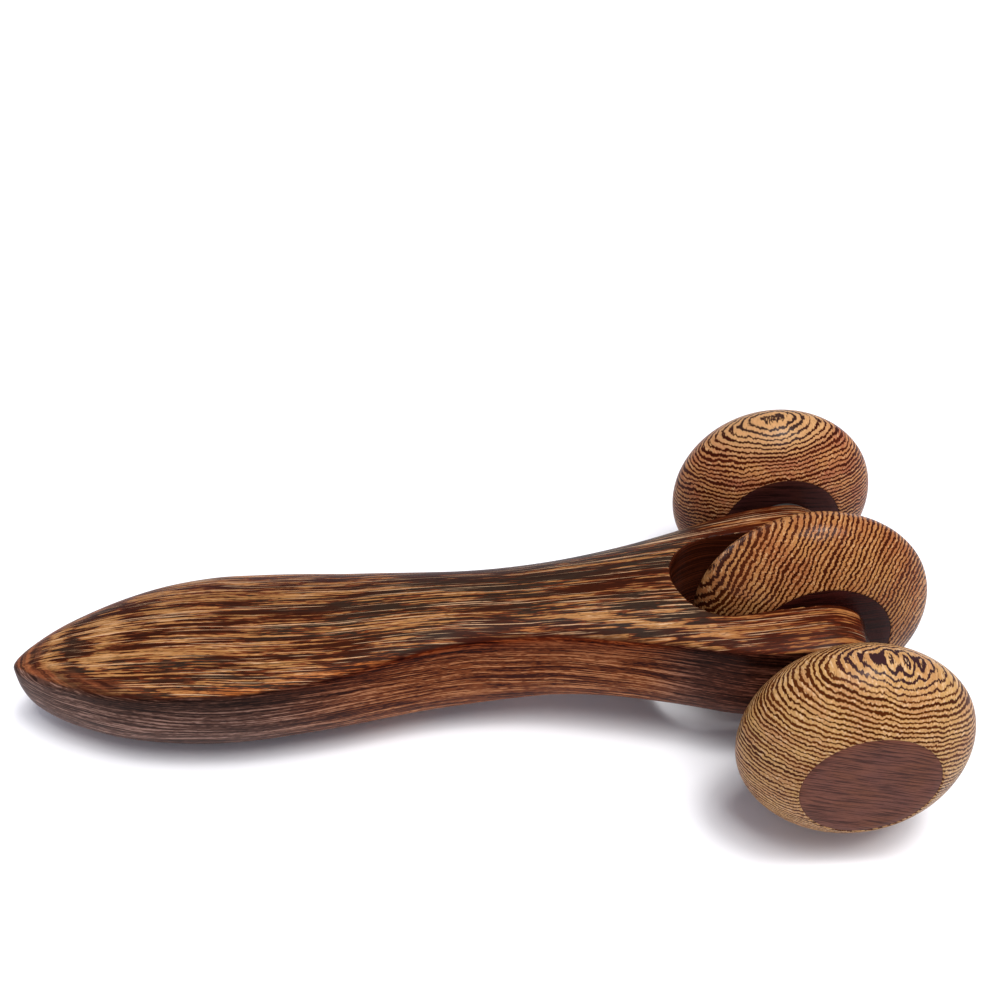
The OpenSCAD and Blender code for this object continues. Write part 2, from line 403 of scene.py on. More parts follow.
# --------------------------------------------------------------------------
# wood of the face discs
# --------------------------------------------------------------------------
def disc_wood(name, y0, seed, base, deep, red, spin=15.0):
    g = Graph(name)
    ex, ey, ez = basis(0, 0, spin)
    x, y, z = local(g, (AX, y0, AZ), ex, ey, ez)
    at = lambda a, b, c, k=0.0: g.vec(g.mad(x, 1 / a, seed + k), g.mad(y, 1 / b, seed * 1.3),
                                       g.mad(z, 1 / c, seed - k))
    wave = g.noise(at(9, 9, 7), detail=1)
    zz = g.mad(wave, 0.35, z)
    s = g.mul(zz, 1 / 0.27)
    fine = g.noise(g.vec(g.mad(x, 1 / 6.5, seed), g.mad(y, 0.3, 1.0), s), detail=2, rough=0.6)
    line = g.step(fine, -0.40, 0.22)
    short = g.noise(at(1.2, 3, 0.20, 4.4), detail=2, rough=0.6)
    speck = g.step(g.noise(at(0.30, 0.5, 0.20, 8.8), detail=1), 0.45, 0.75)
    slow = g.noise(at(10, 10, 6, 2.2), detail=2)
    hue = g.noise(at(7, 7, 5, 15.5), detail=1)
    base = g.mix(g.step(hue, 0.0, 0.5, 0.0, 0.6), base, g.mix(1.0, base, lin(228, 232, 255), "MULTIPLY"))
    base = g.mix(g.step(hue, 0.0, -0.5, 0.0, 0.6), base, g.mix(1.0, base, lin(255, 250, 214), "MULTIPLY"))
    c = g.mix(line, deep, base)
    c = g.mix(g.step(short, 0.1, 0.9, 0.0, 0.4), c, deep)
    c = g.mix(g.mul(speck, 0.55), c, red)
    c = g.tint(c, g.mad(slow, 0.12, 1.0))
    c = g.tint(c, g.mad(g.noise(at(0.7, 0.7, 0.16, 6.1), detail=1), 0.22, 1.0))
    height = g.sub(g.mul(line, 0.3), g.mul(speck, 0.5))
    g.bump(height, 0.3, 0.00006)
    return g.finish(c, g.mad(line, 0.05, 0.42), Specular_IOR_Level=SPEC, Coat_Weight=COAT, Coat_Roughness=0.3, IOR=1.48)


# --------------------------------------------------------------------------
# wood of the handle: flat layers, the fibre along the grip
# --------------------------------------------------------------------------
def handle_wood(name):
    g = Graph(name)
    ex, ey, ez = (0.9986, 0.0523, 0.0), (-0.0523, 0.9986, 0.0), (0.0, 0.0, 1.0)
    x, y, z = local(g, (AX, 0.0, AZ), ex, ey, ez)
    nz = g.attr("facing")
    slot = g.attr("slot")
    drop = g.attr("drop")
    at = lambda a, b, c, k=0.0: g.vec(g.mad(x, 1 / a, k), g.mad(y, 1 / b, 1.3 * k), g.mad(z, 1 / c, 0.7 * k))
    side = g.step(nz, 0.64, 0.76, 1.0, 0.0)

    # crown: the layers lie nearly flat and are cut into long lens-shaped streaks; lane
    # is the distance from the middle, drawn in at the waist so that streaks follow the form
    lane = g.attr("lane")
    inset = g.attr("inset")
    drift = g.mad(g.math("MINIMUM", g.add(x, 58.0), 0.0), 0.07, lane)
    on = lambda a, b, c, k=0.0: g.vec(g.mad(x, 1 / a, k), g.mad(drift, 1 / b, 1.3 * k),
                                       g.mad(drop, 1 / c, 0.7 * k))
    warp = g.noise(at(40, 13, 12, 2.0), detail=1)
    lens = g.noise(on(18.0, 0.95, 3.0, 9.0), detail=3, rough=0.68)
    zone = g.noise(on(38, 3.2, 6.0, 33.0), detail=1)
    tooth = g.noise(on(8.5, 0.9, 3.0, 25.0), detail=1.5, rough=0.6)
    layer = g.mad(warp, 1.4, z)
    band = g.math("SINE", g.mul(g.mad(tooth, 1.25, layer), 2 * math.pi / 2.3))
    flame = g.mul(g.step(inset, 3.0, 8.5, 1.0, 0.0), g.mul(g.step(x, -58.0, -42.0), g.step(y, -4.0, 0.0, 1.0, 0.0)))
    flame = g.mul(flame, g.step(x, -26.0, -14.0, 1.0, 0.1))
    amount = g.math("MAXIMUM", g.step(g.mad(tooth, 3.0, x), -150.0, -124.0, 0.48, 0.05), g.mul(flame, 0.60))
    v = g.mad(zone, 0.50, g.mul(lens, 1.15))
    v = g.add(v, g.mul(band, amount))
    thread = g.noise(on(20, 0.34, 2.0, 50.0), detail=1.5, rough=0.6)
    v = g.mad(thread, 0.80, v)
    chip = g.noise(on(3.2, 0.26, 1.0, 41.0), detail=1, rough=0.6)
    v = g.mad(chip, 0.42, v)
    v = g.sub(v, g.step(x, -100.0, -70.0, 0.06, 0.26))
    v = g.add(v, g.step(x, -24.0, -10.0, 0.0, 0.10))
    far_rim = g.mul(g.step(inset, 2.0, 8.0, 1.0, 0.0), g.step(y, 2.0, 8.0))
    far_rim = g.mul(far_rim, g.mul(g.step(x, -140.0, -120.0), g.step(x, -66.0, -40.0, 1.0, 0.0)))
    v = g.mad(far_rim, -0.16, v)
    v = g.mad(g.mul(g.step(x, -92.0, -72.0), g.mul(g.step(x, -34.0, -20.0, 1.0, 0.0), g.step(lane, -3.0, 3.0))), -0.10, v)
    rimband = g.mul(g.step(inset, 1.5, 5.5, 1.0, 0.0), g.mul(g.step(y, -3.0, 1.0, 1.0, 0.0), g.step(x, -70.0, -50.0, 1.0, 0.0)))
    scratch = g.noise(on(9.0, 0.30, 0.8, 58.0), detail=2, rough=0.65)
    v = g.add(v, g.mul(rimband, g.mad(scratch, 0.95, -0.06)))
    patch = g.noise(on(26, 4, 6, 14.0), detail=2)
    coal, dusk, red = lin(46, 33, 25), lin(52, 20, 8), lin(102, 50, 26)
    tone = g.noise(on(22, 2.4, 5, 21.0), detail=2)
    near = g.step(inset, 1.0, 4.0, 1.0, 0.0)
    glow = g.mul(g.step(x, -128.0, -112.0, 0.35, 1.0), g.step(x, -88.0, -70.0, 1.0, 0.3))
    warm = g.step(g.add(g.mul(g.mul(near, g.mul(glow, g.step(y, -3.0, 3.0, 1.0, 0.0))), 0.75), g.mul(tone, 0.55)), 0.1, 0.9)
    gold = g.mix(warm, lin(156, 109, 64), lin(158, 88, 40))
    pale = g.mix(warm, lin(198, 160, 124), lin(182, 122, 70))
    arm = g.step(x, -30.0, -12.0)
    pale = g.mix(g.mul(arm, 0.9), pale, gold)
    pale = g.mix(g.step(x, -140.0, -124.0, 0.75, 0.0), pale, lin(172, 126, 78))
    shady = g.mul(g.mul(g.step(x, -92.0, -72.0), g.step(x, -26.0, -14.0, 1.0, 0.0)), g.step(lane, -3.0, 3.0))
    dark = g.mix(g.step(g.mad(shady, 0.45, patch), -0.15, 0.30), dusk, coal)
    dark = g.mix(g.mul(arm, 0.55), dark, lin(74, 26, 4))
    dark = g.mix(g.mul(far_rim, 0.6), dark, lin(64, 32, 26))
    colour = g.mix(g.step(v, -0.18, -0.09), dark, red)
    colour = g.mix(g.step(v, 0.05, 0.13), colour, gold)
    colour = g.mix(g.step(g.sub(v, g.step(x, -100.0, -70.0, 0.0, 0.10)), 0.50, 0.85), colour, pale)
    colour = g.mix(g.mul(arm, 0.5), colour, g.mix(1.0, colour, lin(222, 178, 140), "MULTIPLY"))
    colour = g.mix(g.mul(far_rim, 0.5), colour, g.mix(1.0, colour, lin(232, 196, 190), "MULTIPLY"))
    hair = g.noise(on(22, 0.22, 1.2, 61.0), detail=1, rough=0.6)
    colour = g.mix(g.step(hair, 0.32, 0.48, 0.0, 0.85), colour, lin(194, 156, 120))
    colour = g.mix(g.step(hair, -0.26, -0.44, 0.0, 0.85), colour, lin(38, 16, 8))
    fleck = g.step(g.noise(on(1.5, 0.22, 0.8, 77.0), detail=0.5), 0.30, 0.55)
    colour = g.mix(g.mul(fleck, 0.55), colour, lin(44, 22, 14))
    # rim of the crown towards the tip: thin reddish lines that follow the outline
    rim = g.noise(g.vec(g.mul(x, 1 / 18), g.mul(y, 1 / 18), g.mul(g.mad(tooth, 0.25, z), 1 / 0.42)), detail=1.5)
    rim_c = g.mix(g.step(rim, -0.35, 0.35), lin(58, 28, 20), lin(136, 76, 48))
    edge = g.mul(g.step(g.mad(tooth, 0.8, inset), 1.2, 4.2, 1.0, 0.0), g.step(x, -146.0, -128.0, 1.0, 0.0))
    edge = g.math("MAXIMUM", edge, g.step(g.mad(tooth, 2.5, x), -159.0, -153.0, 1.0, 0.0))
    colour = g.mix(g.mul(edge, 0.85), colour, rim_c)

    # sides: the layers edge on, fine dark and tan lines
    wave = g.noise(at(24, 10, 9, 70.0), detail=1)
    lay2 = g.mad(wave, 0.9, z)
    l0 = g.noise(g.vec(g.mul(x, 1 / 26), g.mul(y, 1 / 16), g.mul(lay2, 1 / 1.3)), detail=1.0, rough=0.6)
    l1 = g.noise(g.vec(g.mul(x, 1 / 22), g.mul(y, 1 / 16), g.mul(lay2, 1 / 0.37)), detail=1.0, rough=0.6)
    l2 = g.noise(g.vec(g.mul(x, 1 / 6.0), g.mul(y, 1 / 6), g.mul(lay2, 1 / 0.28)), detail=1.5, rough=0.65)
    l3 = g.noise(g.vec(g.mul(x, 1 / 1.6), g.mul(y, 1 / 2.0), g.mul(lay2, 1 / 0.24)), detail=1.0)
    sv = g.mad(l0, g.step(x, -120.0, -90.0, 0.22, 0.42), g.mad(l2, 0.55, g.mad(l3, 0.45, g.mul(l1, 0.9))))
    waist = g.math("MULTIPLY", g.step(x, -118.0, -82.0), g.step(x, -38.0, -24.0, 1.0, 0.0))
    s_lo = g.mix(waist, lin(48, 28, 22), lin(52, 12, 2))
    s_mid = g.mix(waist, lin(88, 60, 50), lin(114, 58, 28))
    s_hi = g.mix(waist, lin(150, 116, 102), lin(180, 120, 78))
    sc = g.mix(g.step(sv, -0.26, -0.10), s_lo, s_mid)
    sc = g.mix(g.step(sv, 0.16, 0.42), sc, s_hi)
    # painted shade under the crease: the sides are darkened most just below it, fading about 8 mm down, and only
    # lightly at the tip
    shade = g.mix(waist, lin(150, 132, 124), lin(156, 104, 72))
    below_crease_shade = g.mul(g.step(g.add(drop, g.mul(wave, 1.5)), 0.5, 8.0, 0.95, 0.0), g.step(x, -156.0, -138.0, 0.15, 1.0))
    sc = g.mix(below_crease_shade, sc, g.mix(1.0, sc, shade, "MULTIPLY"))
    # painted shade of the wheels on the sides of the head and arms: darker and redder there
    head_wheel_shade = g.step(x, -36.0, -22.0)
    sc = g.mix(g.mul(head_wheel_shade, 0.8), sc, g.mix(1.0, sc, lin(186, 124, 92), "MULTIPLY"))
    colour = g.mix(side, colour, sc)
    # painted shade along the crease: a thin dark line, broken in places
    crease_shade_line = g.mul(g.step(nz, 0.58, 0.68), g.step(nz, 0.74, 0.86, 1.0, 0.0))
    crease_shade_line = g.mul(crease_shade_line, g.mul(g.step(x, -152.0, -138.0), g.step(x, -30.0, -12.0, 1.0, 0.3)))
    crease_shade_line = g.mul(crease_shade_line, g.step(g.noise(at(5.0, 4.0, 4.0, 91.0), detail=2), -0.5, 0.3, 0.35, 0.85))
    colour = g.mix(crease_shade_line, colour, lin(50, 17, 9))

    # slot walls and the end grain of the arms: a dark reddish tone, darkened further as painted shade inside the slot
    slot_wall_tone_and_shade = g.mix(g.step(l1, -0.5, 0.7), lin(44, 16, 8), lin(96, 42, 22))
    colour = g.mix(g.mul(slot, 0.9), colour, slot_wall_tone_and_shade)
    pore = g.step(g.noise(at(1.5, 0.26, 0.26, 60.0), detail=0.5), 0.55, 0.85)
    colour = g.mix(g.mul(pore, 0.6), colour, lin(36, 20, 14))
    grit = g.noise(at(0.9, 0.24, 0.24, 3.3), detail=1.0)
    colour = g.tint(colour, g.mad(grit, 0.22, 1.0))
    rough = g.mad(grit, 0.05, 0.36)
    height = g.add(g.mul(g.add(thread, hair), 0.25), g.sub(g.mul(l2, 0.15), g.mul(pore, 0.35)))
    g.bump(height, 0.30, 0.00010)
    return g.finish(colour, rough, Specular_IOR_Level=0.03, Coat_Weight=0.015, Coat_Roughness=0.22, IOR=1.48)


# --------------------------------------------------------------------------
# metal and nylon
# --------------------------------------------------------------------------
def turned_metal(name, colour, seed, rough=0.28):
    """Steel with fine lines round the axle."""
    g = Graph(name)
    p = g.vmath("SCALE", g.coords(), scale=1 / MM)
    p = g.vmath("SUBTRACT", p, (AX, 0.0, AZ))
    x, y, z = g.split(p)
    r = g.math("SQRT", g.add(g.mul(x, x), g.mul(z, z)))
    n = g.noise(g.vec(g.mul(r, 14.0), g.mul(y, 14.0), seed), detail=2, rough=0.6)
    m = g.noise(g.vec(g.mul(x, 0.5), g.mul(y, 0.5), g.mad(z, 0.5, seed)), detail=3)
    c = g.mix(g.step(n, -0.9, 0.9, 0.35, 0.65), tuple(0.82 * v for v in colour[:3]) + (1.0,), colour)
    c = g.tint(c, g.mad(m, 0.06, 1.0))
    g.bump(g.mad(m, 0.3, n), 0.12, 0.00002)
    return g.finish(c, g.mad(n, 0.05, g.mad(m, 0.04, rough)), Metallic=1.0)


def nylon(name):
    g = Graph(name)
    p = g.vmath("SCALE", g.coords(), scale=1 / MM)
    a = g.noise(p, scale=0.35, detail=3)
    b = g.noise(p, scale=6.0, detail=2)
    c = g.mix(g.step(a, -0.8, 0.8), lin(38, 36, 35), lin(46, 44, 43))
    c = g.tint(c, g.mad(b, 0.03, 1.0))
    g.bump(b, 0.15, 0.00004)
    return g.finish(c, g.mad(a, 0.06, 0.5), IOR=1.53)


# --------------------------------------------------------------------------
# wheels and discs
# --------------------------------------------------------------------------
FULL = 1.8
RIM = 0.3
DISC_T = 3.0
POCKET_R = 7.2
BORE_R = AXLE_R + 0.05


def tread(y, r, w):
    return r * (1 - (abs(y) / (w / 2 * 1.32)) ** FULL) ** (1 / FULL)


def wheel(name, node, body, material, pocket):
    """pocket is +1 or -1 for the side of the retainer pocket, 0 for none."""
    y0, y1 = span_y(node)
    mid, w, r = (y0 + y1) / 2, y1 - y0, radius(node)
    h = w / 2
    fr = tread(h, r, w)
    dr = fr - RIM
    n = 120
    ys = [-h + 0.07] + [h * math.sin(math.pi / 2 * i / n) for i in range(-n + 4, n - 3)] + [h - 0.07]
    skin = [(y, tread(y, r, w)) for y in ys]
    edge = tread(h - 0.07, r, w)
    right_side = [(h - 0.02, fr - 0.02), (h, fr - 0.08), (h, dr + 0.05), (h - 0.05, dr)]
    left_side = [(-y, rr) for y, rr in right_side]
    def inside(s, deep):
        pts = [(s * (h - DISC_T), dr)]
        if deep:
            pts += [(s * (h - DISC_T), POCKET_R), (s * (h - DISC_T - 5), POCKET_R)]
            pts += [(s * (h - DISC_T - 5), BORE_R + 0.2), (s * (h - DISC_T - 5.2), BORE_R)]
        else:
            pts += [(s * (h - DISC_T), BORE_R + 0.2), (s * (h - DISC_T - 0.2), BORE_R)]
        return pts
    prof = skin + right_side + inside(1, pocket > 0) + inside(-1, pocket < 0)[::-1] + left_side[::-1]
    prof = [(y + mid, rr) for y, rr in prof]
    verts, faces = lathe(prof, 288)
    return make(name, verts, faces, body, [node], material)


def disc(name, node, body, material, bore):
    y0, y1 = span_y(node)
    r = radius(node) - 0.01
    c = 0.10
    rings = [r * k / 8 for k in range(7, 0, -1)]
    if bore:
        b = AXLE_R + 0.45
        pts = [(y0, b + 0.2), (y0 + 0.2, b), (y1 - 0.2, b), (y1, b + 0.2)]
        pts += [(y1, q) for q in reversed(rings) if q > b + 0.8]
        pts += [(y1, r - c), (y1 - 0.03, r - 0.03), (y1 - c, r), (y0 + c, r), (y0 + 0.03, r - 0.03), (y0, r - c)]
        pts += [(y0, q) for q in rings if q > b + 0.8]
    else:
        pts = [(y1, 0.0)] + [(y1, q) for q in reversed(rings)]
        pts += [(y1, r - c), (y1 - 0.03, r - 0.03), (y1 - c, r), (y0 + c, r), (y0 + 0.03, r - 0.03), (y0, r - c)]
        pts += [(y0, q) for q in rings] + [(y0, 0.0)]
    verts, faces = lathe(pts, 240)
    return make(name, verts, faces, body, [node], material)


front = wheel_wood("wood_front_wheel", -35.4, basis(12.0, -2.0), 3.7, 0.92, 0.45, TAN, BROWN,
                   curve=(0.002, -0.014), eye=(1.1, 7.5, 0.9, 0.0), bars=0.42)
rear = wheel_wood("wood_rear_wheel", 35.4, basis(-8.0, -1.0), 11.9, 0.88, 0.52,
                  (lin(176, 120, 73), lin(156, 94, 65), lin(202, 156, 112)),
                  (lin(52, 12, 0), lin(72, 26, 8), lin(52, 32, 26)), curve=(0.002, -0.012),
                  eye=(1.6, 6.0, 0.9, -1.0), thin=0.16, crest=lin(188, 145, 98))
mid = wheel_wood("wood_centre_wheel", -0.6, basis(-64.0, 24.0), 23.3, 0.96, 0.50,
                 (lin(170, 117, 68), lin(153, 94, 55), lin(200, 155, 108)),
                 (lin(54, 14, 0), lin(74, 30, 8), lin(56, 22, 10)), curve=(0.0, 0.012))

wheel("front_wheel_turned", "front_wheel", "front_roller", front, -1)
wheel("rear_wheel_turned", "rear_wheel", "rear_roller", rear, 1)
wheel("centre_wheel_turned", "centre_wheel", "centre_roller", mid, 0)

outer = (lin(112, 66, 51), lin(58, 24, 14), lin(132, 46, 36))
inner = (lin(66, 32, 28), lin(36, 14, 12), lin(80, 28, 24))
middle = (lin(58, 20, 16), lin(32, 9, 7), lin(72, 22, 18))
disc("front_outer_disc_face", "front_outer_disc", "front_roller", disc_wood("wood_disc_a", -45, 1.0, *outer), False)
disc("front_inner_disc_face", "front_inner_disc", "front_roller", disc_wood("wood_disc_b", -26, 5.0, *inner, spin=20), True)
disc("rear_outer_disc_face", "rear_outer_disc", "rear_roller", disc_wood("wood_disc_c", 45, 9.0, *outer, spin=-12), False)
disc("rear_inner_disc_face", "rear_inner_disc", "rear_roller", disc_wood("wood_disc_d", 26, 13.0, *inner, spin=2), True)
disc("centre_front_disc_face", "centre_front_disc", "centre_roller", disc_wood("wood_disc_e", -9, 17.0, *middle, spin=-5), True)
disc("centre_rear_disc_face", "centre_rear_disc", "centre_roller", disc_wood("wood_disc_f", 9, 21.0, *middle, spin=9), True)

# --------------------------------------------------------------------------
# axle, spacers, washers, retainers
# --------------------------------------------------------------------------
steel = turned_metal("steel_axle", (0.70, 0.71, 0.72, 1.0), 2.0, 0.24)
zinc = turned_metal("steel_washer", (0.66, 0.66, 0.67, 1.0), 6.0, 0.34)
spring = turned_metal("steel_retainer", (0.50, 0.51, 0.53, 1.0), 9.0, 0.30)
black_nylon = nylon("nylon_spacer")


def ring(y0, y1, ro, ri, f):
    return rounded([(y0, ri, f), (y0, ro, f), (y1, ro, f), (y1, ri, f)])


e = AXLE_END
v, f = lathe(rounded([(e, 0.0), (e, AXLE_R - 0.6, 0.3), (e - 0.6, AXLE_R, 0.3),
                      (-e + 0.6, AXLE_R, 0.3), (-e, AXLE_R - 0.6, 0.3), (-e, 0.0)]), 192)
make("axle_rod", v, f, "handle_body", ["axle"], steel, 60)

for name in ("front_spacer", "rear_spacer"):
    a, b = span_y(name)
    v, f = lathe(ring(a, b, radius(name), AXLE_R + 0.05, 0.3), 192)
    make(name + "_ring", v, f, "handle_body", [name], black_nylon, 60)
for name in ("slot_front_washer", "slot_rear_washer"):
    a, b = span_y(name)
    v, f = lathe(ring(a, b, radius(name), AXLE_R + 0.05, 0.12), 192)
    make(name + "_ring", v, f, "handle_body", [name], zinc, 60)


def both(profile, segments):
    """The same lathe on both ends of the axle, as one piece."""
    v1, f1 = lathe(profile, segments)
    v2, f2 = lathe([(-y, r) for y, r in profile], segments)
    n = len(v1)
    return v1 + v2, f1 + [tuple(i + n for i in q) for q in f2]


y_w = 38.25 + 0.3
v, f = both(ring(y_w, y_w + 1.0, radius("end_washers"), AXLE_R + 0.05, 0.15), 192)
make("end_washers_pair", v, f, "handle_body", ["end_washers"], zinc, 60)

# push-on retainers: a flat rim and sprung tabs that bite the axle
y_r = y_w + 1.0
R = radius("push_on_retainers")
cap = [(y_r, AXLE_R), (y_r, R - 0.15), (y_r + 0.15, R), (y_r + 0.45, R), (y_r + 0.6, R - 0.15),
       (y_r + 1.2, AXLE_R + 1.2), (y_r + 1.75, AXLE_R + 0.85), (y_r + 2.0, AXLE_R + 0.55),
       (y_r + 2.0, AXLE_R + 0.12), (y_r + 1.9, AXLE_R)]
v, f = both(cap, 192)
make("push_on_retainers_pair", v, f, "handle_body", ["push_on_retainers"], spring, 50)

# --------------------------------------------------------------------------
# handle: a smooth solid of the CAD's own sections, with eased edges
# --------------------------------------------------------------------------
# x from the axle, half width, height of the crease, crown, underside, squareness
LOFT = np.array([
    [-161.6, 0.5, -8.6, 0.3, -11.0, 2.0],
    [-160.6, 2.3, -8.0, 0.6, -15.4, 2.1],
    [-158.4, 4.3, -7.0, 1.0, -18.9, 2.4],
    [-154.0, 7.4, -5.6, 1.5, -21.2, 2.6],
    [-149.0, 10.1, -4.5, 1.9, -22.4, 2.7],
    [-141.0, 13.6, -3.3, 2.4, -23.2, 2.8],
    [-132.0, 16.0, -2.1, 2.7, -23.7, 2.8],
    [-122.0, 17.1, -1.2, 2.8, -24.0, 2.8],
    [-113.0, 17.1, -0.9, 2.8, -23.9, 2.7],
    [-104.0, 16.2, -0.2, 2.8, -23.2, 2.7],
    [-96.0, 15.0, 0.5, 2.8, -22.4, 2.8],
    [-88.0, 13.4, 1.8, 2.7, -21.8, 2.9],
    [-79.0, 11.7, 3.1, 2.6, -20.9, 3.0],
    [-71.0, 10.7, 3.9, 2.6, -20.0, 3.2],
    [-63.0, 10.6, 4.4, 2.7, -18.9, 3.2],
    [-53.0, 11.2, 5.1, 3.0, -17.5, 3.2],
    [-44.0, 12.8, 5.5, 3.3, -16.6, 3.3],
    [-35.0, 14.8, 6.1, 3.5, -16.4, 3.5],
    [-26.0, 17.2, 6.9, 3.3, -16.6, 3.7],
    [-17.0, 19.9, 7.8, 2.9, -16.8, 3.9],
    [-8.0, 21.2, 9.1, 2.6, -17.0, 4.0],
    [0.0, 21.4, 9.8, 2.3, -16.8, 4.0],
    [4.0, 21.0, 8.5, 2.0, -15.2, 3.6],
    [6.4, 20.0, 6.0, 1.6, -12.4, 3.2],
    [7.8, 17.4, 1.6, 1.0, -7.6, 2.6]])
ARM_END = 8.4
SLOT_C, SLOT_R = -17.7, 11.5
TIP = -161.6


def stations(x):
    """Half width, crease, crown, underside and squareness at each x, by the CAD's own curve."""
    t = LOFT[:, 0]
    xs = np.where(x > 0, x * 7.8 / ARM_END, x)
    xs = np.clip(xs, t[0], t[-1])
    i = np.clip(np.searchsorted(t, xs, side="right") - 1, 0, len(t) - 2)
    a, b = np.maximum(np.arange(len(t)) - 1, 0), np.minimum(np.arange(len(t)) + 1, len(t) - 1)
    grade = (LOFT[b, 1:] - LOFT[a, 1:]) / (t[b] - t[a])[:, None]
    h = t[i + 1] - t[i]
    s = (xs - t[i]) / h
    s2, s3 = s * s, s * s * s
    k0, k1, k2, k3 = 2 * s3 - 3 * s2 + 1, (s3 - 2 * s2 + s) * h, 3 * s2 - 2 * s3, (s3 - s2) * h
    out = (k0[..., None] * LOFT[i, 1:] + k1[..., None] * grade[i]
           + k2[..., None] * LOFT[i + 1, 1:] + k3[..., None] * grade[i + 1])
    bb, zc, cr, zb, n = np.moveaxis(out, -1, 0)
    return bb, zc, cr, np.maximum(zb, -24.0), n


def smax(a, b, k):
    return np.maximum(a, b) + np.maximum(k - np.abs(a - b), 0) ** 2 / (4 * k)


def solid(p):
    """Signed measure of the handle at points (..., 3) from the axle, negative inside."""
    x, y, z = p[..., 0], p[..., 1], p[..., 2]
    b, zc, cr, zb, n = stations(x)
    edge = np.minimum(2.0, (zc - zb) / 5)
    zm = zc - edge
    ay = np.abs(y)
    Y = ay / b
    dz = z - zm
    dz = np.where(np.abs(dz) < 1e-4, 1e-4, dz)
    top = edge + cr * (1 - np.minimum(Y, 1.3) ** 2.2)
    top = np.maximum(top, 0.15)
    P = 2 / 0.42
    gu = (Y ** P + (np.abs(dz) / top) ** P) ** (1 / P)
    gl = (Y ** n + (np.abs(dz) / (zm - zb)) ** n) ** (1 / n)
    G = np.maximum(np.where(dz > 0, gu, gl), 1e-4)
    r = np.hypot(y, dz)
    f = r - r / G
    f = smax(f, x - ARM_END, 2.2)
    f = smax(f, TIP - x, 0.4)
    # slot open towards +X
    d = np.where(x < SLOT_C, np.hypot(x - SLOT_C, y), ay) - SLOT_R
    f = smax(f, -d, 0.9)
    # bore, and flat seats for the spacers
    q = np.hypot(x, z)
    f = smax(f, AXLE_R - q, 0.25)
    seat = np.maximum(q - 8.0, 21.2 - ay)
    f = smax(f, -seat, 0.2)
    return f


def nets(fun, lo, hi, h):
    """Closed quad mesh of fun = 0 on a grid of cell h: one point in each cell the surface
    crosses, one quad for each grid edge it crosses."""
    axes = [np.arange(a, b + h, h) for a, b in zip(lo, hi)]
    nx, ny, nz = (len(a) for a in axes)
    F = np.empty((nx, ny, nz))
    for i in range(0, nx, 24):
        X, Yy, Z = np.meshgrid(axes[0][i:i + 24], axes[1], axes[2], indexing="ij")
        F[i:i + 24] = fun(np.stack([X, Yy, Z], -1))
    ins = F < 0
    cells = (nx - 1, ny - 1, nz - 1)
    total = np.zeros(cells + (3,))
    count = np.zeros(cells)
    corner = [(0, 0, 0), (1, 0, 0), (0, 1, 0), (1, 1, 0), (0, 0, 1), (1, 0, 1), (0, 1, 1), (1, 1, 1)]
    def view(A, c):
        return A[c[0]:c[0] + cells[0], c[1]:c[1] + cells[1], c[2]:c[2] + cells[2]]
    for i, a in enumerate(corner):
        for b in corner[i + 1:]:
            if sum(abs(p - q) for p, q in zip(a, b)) != 1:
                continue
            fa, fb = view(F, a), view(F, b)
            cross = view(ins, a) != view(ins, b)
            t = np.where(cross, fa / np.where(cross, fa - fb, 1), 0)
            for k in range(3):
                total[..., k] += np.where(cross, a[k] + t * (b[k] - a[k]), 0)
            count += cross
    act = count > 0
    index = -np.ones(cells, int)
    index[act] = np.arange(act.sum())
    base = np.stack(np.nonzero(act), -1)
    pts = (base + total[act] / count[act][:, None]) * h + np.array([a[0] for a in axes])
    quads = []
    for k in range(3):
        u, v = (k + 1) % 3, (k + 2) % 3
        sl0 = [slice(None)] * 3
        sl1 = [slice(None)] * 3
        sl0[k], sl1[k] = slice(0, -1), slice(1, None)
        a, b = ins[tuple(sl0)], ins[tuple(sl1)]
        e = np.stack(np.nonzero(a != b), -1)
        e = e[(e[:, u] > 0) & (e[:, v] > 0)]
        flip = a[tuple(e.T)]
        def at(du, dv):
            c = e.copy()
            c[:, u] += du
            c[:, v] += dv
            return index[tuple(c.T)]
        q = np.stack([at(-1, -1), at(0, -1), at(0, 0), at(-1, 0)], -1)
        q[~flip] = q[~flip][:, ::-1]
        quads.append(q)
    return pts, np.concatenate(quads)


def gradient(fun, p, e=0.02):
    g = np.empty_like(p)
    for k in range(3):
        d = np.zeros(3)
        d[k] = e
        g[:, k] = (fun(p + d) - fun(p - d)) / (2 * e)
    return g


def settle(fun, p, rounds=3, cap=0.25):
    for _ in range(rounds):
        g = gradient(fun, p)
        m = np.maximum((g * g).sum(1), 1e-3)
        s = -(fun(p) / m)[:, None] * g
        l = np.linalg.norm(s, axis=1)
        s *= np.minimum(1, cap / np.maximum(l, 1e-9))[:, None]
        p = p + s
    return p


def even_out(fun, p, quads, rounds=4):
    """Slides the points along the surface towards the middle of their neighbours."""
    pairs = np.concatenate([quads[:, [0, 1]], quads[:, [1, 2]], quads[:, [2, 3]], quads[:, [3, 0]]])
    a = np.concatenate([pairs[:, 0], pairs[:, 1]])
    b = np.concatenate([pairs[:, 1], pairs[:, 0]])
    n = len(p)
    deg = np.bincount(a, minlength=n)
    for _ in range(rounds):
        m = np.stack([np.bincount(a, weights=p[b, k], minlength=n) / deg for k in range(3)], -1)
        g = gradient(fun, p)
        g /= np.maximum(np.linalg.norm(g, axis=1), 1e-9)[:, None]
        d = m - p
        d -= (d * g).sum(1)[:, None] * g
        p = settle(fun, p + 0.5 * d, 1)
    return p


